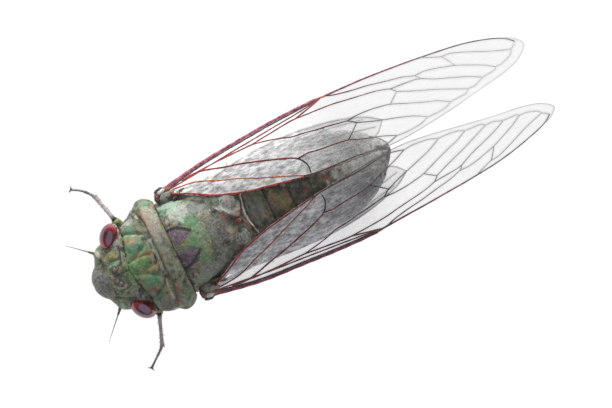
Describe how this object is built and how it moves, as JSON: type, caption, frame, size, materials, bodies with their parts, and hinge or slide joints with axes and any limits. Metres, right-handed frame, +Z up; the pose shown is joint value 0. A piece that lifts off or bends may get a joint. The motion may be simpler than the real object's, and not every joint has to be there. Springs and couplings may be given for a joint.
{
  "type": "cicada",
  "caption": "Life-size still model of a resting cicada with clear veined wings folded over its back, standing on six small flat feet.",
  "frame": {"origin": "centre of the part's box at the floor it stands on", "axes": "-Y the way the head points, +X the animal's left, +Z up"},
  "size_m": [0.0256, 0.0618, 0.0151],
  "materials": {
    "shell": "mottled grey-green cuticle, finely pitted, satin",
    "eye": "glossy dark red",
    "wing": "clear membrane with raised dark red and grey veins",
    "leg": "grey-brown satin cuticle"
  },
  "bodies": {
    "root": {"head": "shell", "pronotum": "shell", "thorax": "shell", "abdomen": "shell", "eye_left": "eye", "eye_right": "eye", "forewing_left": "wing", "forewing_right": "wing", "hindwing_left": "wing", "hindwing_right": "wing", "rostrum": "leg", "antenna_left": "leg", "antenna_right": "leg", "front_leg_left_coxa": "leg", "front_leg_left_femur": "leg", "front_leg_left_tibia": "leg", "front_leg_left_tarsus": "leg", "front_leg_right_coxa": "leg", "front_leg_right_femur": "leg", "front_leg_right_tibia": "leg", "front_leg_right_tarsus": "leg", "mid_leg_left_coxa": "leg", "mid_leg_left_femur": "leg", "mid_leg_left_tibia": "leg", "mid_leg_left_tarsus": "leg", "mid_leg_right_coxa": "leg", "mid_leg_right_femur": "leg", "mid_leg_right_tibia": "leg", "mid_leg_right_tarsus": "leg", "hind_leg_left_coxa": "leg", "hind_leg_left_femur": "leg", "hind_leg_left_tibia": "leg", "hind_leg_left_tarsus": "leg", "hind_leg_right_coxa": "leg", "hind_leg_right_femur": "leg", "hind_leg_right_tibia": "leg", "hind_leg_right_tarsus": "leg"}
  },
  "joints": []
}
